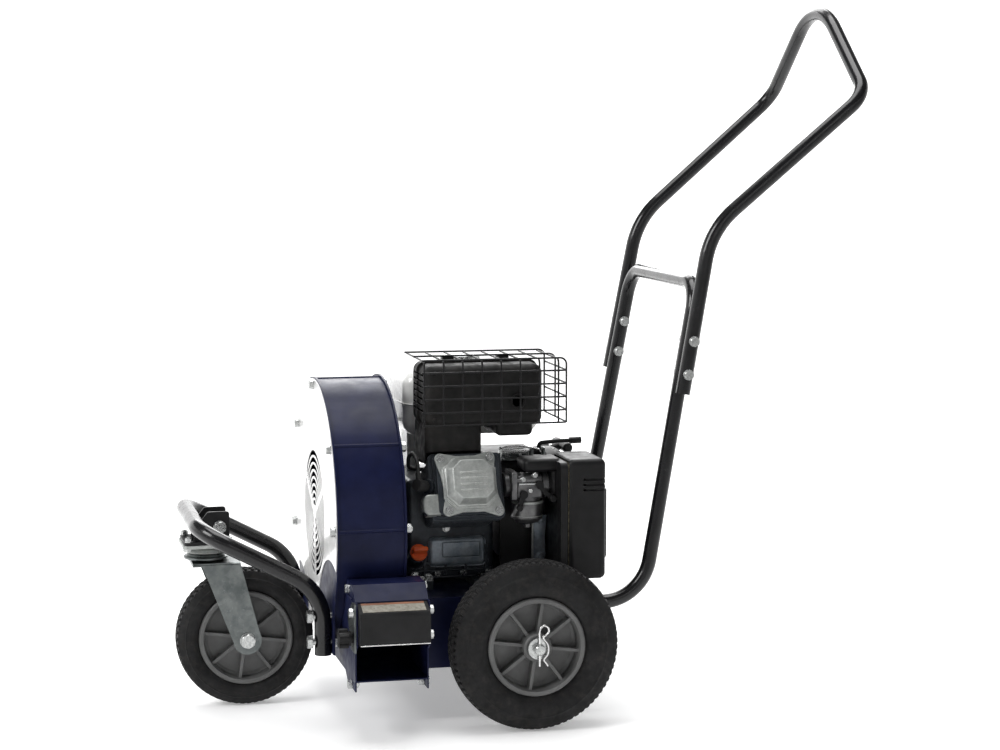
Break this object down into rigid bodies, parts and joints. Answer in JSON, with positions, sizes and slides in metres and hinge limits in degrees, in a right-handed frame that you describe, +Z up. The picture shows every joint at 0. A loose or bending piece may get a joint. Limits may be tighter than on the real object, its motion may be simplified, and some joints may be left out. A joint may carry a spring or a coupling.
{
  "type": "walk behind leaf blower",
  "caption": "Wheeled blower pushed by a peaked tube handle: engine-driven drum fan with a side outlet, rear wheels and a swivelling front caster.",
  "frame": {"origin": "on the ground under the middle of the machine's overall box", "axes": "+X towards the operator, -X the blower drum and caster, -Y the air outlet side, +Z up"},
  "size_m": [1.045, 0.604, 1.0797],
  "materials": {
    "navy_paint": "gloss powder coat",
    "black_gloss": "gloss powder coat",
    "black_satin": "satin paint",
    "zinc": "zinc plated",
    "spring_steel": "zinc plated wire",
    "grey_plastic": "moulded",
    "tyre": "moulded tread",
    "black_plastic": "fine texture",
    "white_paint": "gloss powder coat",
    "steel": "machined",
    "cast_metal": "as cast",
    "cast_grey": "painted casting",
    "cast_silver": "as cast",
    "rubber_black": "satin",
    "heat_black": "heat resistant matt paint",
    "tank_white": "gloss paint",
    "filter_foam": "open cell foam",
    "red_plastic": "moulded",
    "orange_plastic": "moulded"
  },
  "bodies": {
    "chassis": {"base_frame": "navy_paint", "front_loop_tube": "black_gloss", "caster_bracket": "black_satin", "caster_top_plate": "zinc", "kingpin": "zinc", "frame_bolts": "zinc", "lower_handle": "black_gloss", "upper_handle": "black_gloss", "handle_bolts": "zinc", "rear_axle": "zinc", "axle_spacers": "zinc", "hairpin_clips": "spring_steel", "housing_shell": "navy_paint", "housing_back_plate": "navy_paint", "housing_front_plate": "navy_paint", "inlet_cover": "white_paint", "housing_bolts": "zinc", "outlet_duct": "navy_paint", "deflector_bracket": "zinc", "crankcase": "cast_grey", "crankcase_cover": "cast_grey", "piston": "cast_metal", "cylinder_head": "cast_silver", "valve_cover": "cast_silver", "engine_bolts": "zinc", "spark_plug": "rubber_black", "plug_lead": "rubber_black", "muffler": "heat_black", "muffler_guard": "black_satin", "fuel_tank": "tank_white", "carburettor": "cast_silver", "float_bowl": "cast_metal", "air_cleaner_base": "black_plastic", "air_cleaner_cover": "black_plastic", "air_filter": "filter_foam", "fan_shroud": "black_satin", "recoil_housing": "black_satin", "governor_linkage": "zinc"},
    "left_wheel": {"left_rim": "grey_plastic", "left_tyre": "tyre", "left_bushes": "black_plastic"},
    "right_wheel": {"right_rim": "grey_plastic", "right_tyre": "tyre", "right_bushes": "black_plastic"},
    "caster_swivel": {"caster_fork": "zinc", "caster_axle_bolt": "zinc"},
    "caster_wheel": {"caster_rim": "grey_plastic", "caster_tyre": "tyre"},
    "rotor": {"crankshaft": "steel", "impeller": "black_satin", "flywheel": "cast_metal"},
    "deflector": {"deflector_hood": "black_satin"},
    "clamp_knob": {"star_knob": "black_plastic"},
    "filler_cap": {"fuel_cap": "zinc"},
    "oil_plug": {"dipstick": "orange_plastic"},
    "starter_grip": {"recoil_grip": "black_plastic"},
    "stop_switch": {"engine_switch": "red_plastic"},
    "throttle": {"throttle_lever": "black_satin"},
    "choke": {"choke_lever": "black_plastic"},
    "fuel_valve": {"fuel_valve_lever": "black_plastic"}
  },
  "joints": [
    {"name": "left_wheel_spin", "type": "hinge", "parent": "chassis", "child": "left_wheel", "pos_m": [-0.0185, -0.254, 0.127], "axis": [0, 1, 0], "continuous": true},
    {"name": "right_wheel_spin", "type": "hinge", "parent": "chassis", "child": "right_wheel", "pos_m": [-0.0185, 0.254, 0.127], "axis": [0, 1, 0], "continuous": true},
    {"name": "caster_swivel_turn", "type": "hinge", "parent": "chassis", "child": "caster_swivel", "pos_m": [-0.4745, 0, 0.24], "axis": [0, 0, 1], "continuous": true},
    {"name": "caster_wheel_spin", "type": "hinge", "parent": "caster_swivel", "child": "caster_wheel", "pos_m": [-0.4165, 0, 0.106], "axis": [0, 1, 0], "continuous": true},
    {"name": "crank_spin", "type": "hinge", "parent": "chassis", "child": "rotor", "pos_m": [-0.0985, 0, 0.294], "axis": [1, 0, 0], "continuous": true},
    {"name": "deflector_tilt", "type": "hinge", "parent": "chassis", "child": "deflector", "pos_m": [-0.2335, -0.272, 0.19], "axis": [-1, 0, 0], "range_deg": [0, 35]},
    {"name": "clamp_knob_turn", "type": "hinge", "parent": "chassis", "child": "clamp_knob", "pos_m": [-0.3035, -0.272, 0.153], "axis": [1, 0, 0], "continuous": true},
    {"name": "fuel_cap_lift", "type": "slide", "parent": "chassis", "child": "filler_cap", "axis": [0, 0, 1], "range_m": [0, 0.05]},
    {"name": "dipstick_pull", "type": "slide", "parent": "chassis", "child": "oil_plug", "axis": [0, -0.862, 0.507], "range_m": [0, 0.06]},
    {"name": "recoil_pull", "type": "slide", "parent": "chassis", "child": "starter_grip", "axis": [0.9439, 0, 0.3304], "range_m": [0, 0.45], "stiffness_N_per_m": 30, "springref_m": -0.25},
    {"name": "stop_switch_rock", "type": "hinge", "parent": "chassis", "child": "stop_switch", "pos_m": [0.05, 0.078, 0.222], "axis": [0, 1, 0], "range_deg": [-8, 8]},
    {"name": "throttle_swing", "type": "hinge", "parent": "chassis", "child": "throttle", "pos_m": [0.0315, -0.078, 0.391], "axis": [1, 0, 0], "range_deg": [-30, 30]},
    {"name": "choke_turn", "type": "hinge", "parent": "chassis", "child": "choke", "pos_m": [0.0115, -0.172, 0.352], "axis": [0, 1, 0], "range_deg": [0, 45]},
    {"name": "fuel_valve_turn", "type": "hinge", "parent": "chassis", "child": "fuel_valve", "pos_m": [-0.0125, -0.172, 0.338], "axis": [0, 1, 0], "range_deg": [-45, 0]}
  ]
}
